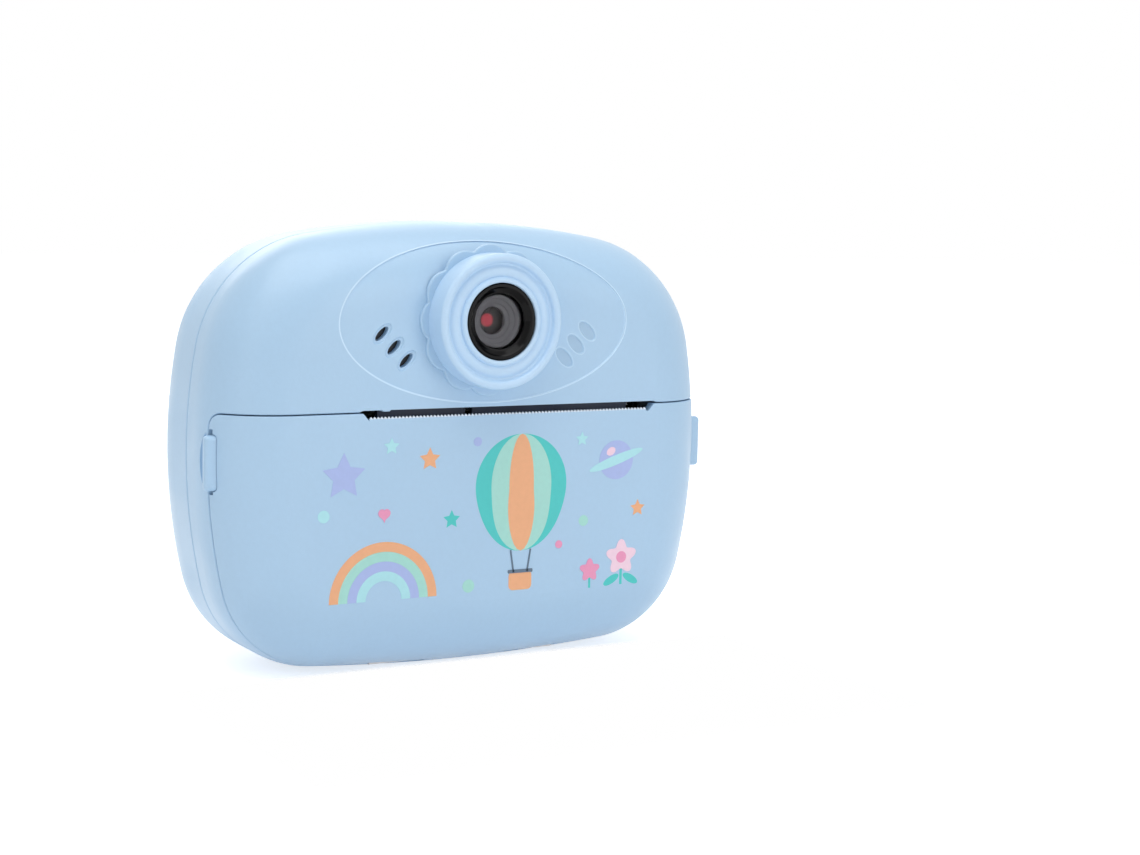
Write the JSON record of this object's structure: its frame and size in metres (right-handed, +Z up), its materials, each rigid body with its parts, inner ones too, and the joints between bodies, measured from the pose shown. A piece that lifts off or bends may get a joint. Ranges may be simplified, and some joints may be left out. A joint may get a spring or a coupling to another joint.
{
  "type": "kids instant-print digital camera",
  "caption": "Rounded handheld toy camera with a proud lens ring above a bottom-hinged paper door whose toothed edge is the tear bar; screen and keys at the back.",
  "frame": {"origin": "on the ground under the middle of the whole object's box", "axes": "+Z up, the lens looks along -Y, +X to the right of somebody facing the lens"},
  "size_m": [0.1108, 0.0528, 0.0883],
  "materials": {
    "case_plastic": "satin moulded plastic, pale blue, fine grain",
    "black_gloss": "polished black plastic",
    "clear_window": "clear flat window",
    "barrel_grey": "dark grey plastic with turned steps",
    "lens_glass": "coated lens element",
    "lens_coating": "red reflection behind the lens",
    "board_green": "solder-masked board",
    "black_plastic": "black moulded plastic",
    "bay_plastic": "pale moulded plastic",
    "thermal_paper": "smooth thermal paper, wound",
    "roller_rubber": "ground rubber sleeve",
    "steel": "plain steel",
    "bearing_plastic": "natural acetal",
    "gear_plastic": "white acetal",
    "brass_gear": "turned brass",
    "head_ceramic": "glazed ceramic strip",
    "aluminium_sink": "bare aluminium plate",
    "guide_grey": "dark grey plastic",
    "ribbon_film": "amber film cable",
    "lead_insulation": "red and black leads",
    "battery_wrap": "foil pouch",
    "screen_gloss": "dark glossy screen panel",
    "key_plastic": "white glossy keys",
    "accent_plastic": "pale pink glossy button"
  },
  "bodies": {
    "case": {"front_shell": "case_plastic", "rear_shell": "case_plastic", "petal_collar": "case_plastic", "lens_ring": "case_plastic", "lens_bezel": "black_gloss", "lens_window": "clear_window", "lens_barrel": "barrel_grey", "front_lens": "lens_glass", "iris_disc": "lens_coating", "sensor_board": "board_green", "speaker": "black_plastic", "paper_bay": "bay_plastic", "gear_plate": "steel", "stepper_motor": "steel", "print_head": "head_ceramic", "heat_sink": "aluminium_sink", "head_bracket": "black_plastic", "head_spring": "steel", "paper_guide": "guide_grey", "paper_sensor": "black_plastic", "lens_ribbon": "ribbon_film", "head_ribbon": "ribbon_film", "leads": "lead_insulation", "main_board": "board_green", "board_screws": "steel", "battery": "battery_wrap", "key_switches": "black_plastic", "shutter_switch": "black_plastic", "screen_module": "black_plastic", "screen_window": "screen_gloss", "usb_port": "steel", "card_socket": "steel", "case_screws": "steel", "hinge_pin": "steel"},
    "door": {"paper_door": "case_plastic", "platen_bushes": "bearing_plastic"},
    "latch_left": {"latch_left": "case_plastic"},
    "latch_right": {"latch_right": "case_plastic"},
    "platen": {"platen_roller": "roller_rubber", "platen_shaft": "steel", "platen_gear": "gear_plastic"},
    "idler": {"idler_gear": "gear_plastic"},
    "motor_rotor": {"motor_pinion": "brass_gear", "motor_shaft": "steel"},
    "paper_roll": {"paper_roll": "thermal_paper"},
    "menu_key": {"menu_key": "key_plastic"},
    "back_key": {"back_key": "key_plastic"},
    "ok_key": {"ok_key": "key_plastic"},
    "next_key": {"next_key": "key_plastic"},
    "print_key": {"print_key": "accent_plastic"},
    "shutter_button": {"shutter_button": "accent_plastic"},
    "memory_card": {"memory_card": "black_plastic"}
  },
  "joints": [
    {"name": "door_hinge", "type": "hinge", "parent": "case", "child": "door", "pos_m": [0, -0.01085, 0.0014], "axis": [1, 0, 0], "range_deg": [0, 80]},
    {"name": "latch_left_press", "type": "slide", "parent": "door", "child": "latch_left", "axis": [1, 0, 0], "range_m": [0, 0.0008], "stiffness_N_per_m": 1200},
    {"name": "latch_right_press", "type": "slide", "parent": "door", "child": "latch_right", "axis": [-1, 0, 0], "range_m": [0, 0.0008], "stiffness_N_per_m": 1200},
    {"name": "platen_spin", "type": "hinge", "parent": "door", "child": "platen", "pos_m": [0, -0.01345, 0.0466], "axis": [1, 0, 0], "continuous": true},
    {"name": "idler_spin", "type": "hinge", "parent": "case", "child": "idler", "pos_m": [-0.0278, -0.00256, 0.04468], "axis": [1, 0, 0], "continuous": true},
    {"name": "motor_spin", "type": "hinge", "parent": "case", "child": "motor_rotor", "pos_m": [-0.0278, 0.00456, 0.05179], "axis": [1, 0, 0], "continuous": true},
    {"name": "roll_spin", "type": "hinge", "parent": "case", "child": "paper_roll", "pos_m": [0.0078, -0.00165, 0.0196], "axis": [1, 0, 0], "continuous": true},
    {"name": "menu_key_press", "type": "slide", "parent": "case", "child": "menu_key", "axis": [0, -1, 0], "range_m": [0, 0.0006], "stiffness_N_per_m": 1500},
    {"name": "back_key_press", "type": "slide", "parent": "case", "child": "back_key", "axis": [0, -1, 0], "range_m": [0, 0.0006], "stiffness_N_per_m": 1500},
    {"name": "ok_key_press", "type": "slide", "parent": "case", "child": "ok_key", "axis": [0, -1, 0], "range_m": [0, 0.0006], "stiffness_N_per_m": 1500},
    {"name": "next_key_press", "type": "slide", "parent": "case", "child": "next_key", "axis": [0, -1, 0], "range_m": [0, 0.0006], "stiffness_N_per_m": 1500},
    {"name": "print_key_press", "type": "slide", "parent": "case", "child": "print_key", "axis": [0, -1, 0], "range_m": [0, 0.0006], "stiffness_N_per_m": 1500},
    {"name": "shutter_press", "type": "slide", "parent": "case", "child": "shutter_button", "axis": [0, 0, -1], "range_m": [0, 0.0006], "stiffness_N_per_m": 1500},
    {"name": "card_slide", "type": "slide", "parent": "case", "child": "memory_card", "axis": [1, 0, 0], "range_m": [0, 0.012]}
  ],
  "couplings": [
    {"joint": "idler_spin", "follows": "platen_spin", "ratio": -0.57143},
    {"joint": "motor_spin", "follows": "platen_spin", "ratio": 1.3333}
  ]
}
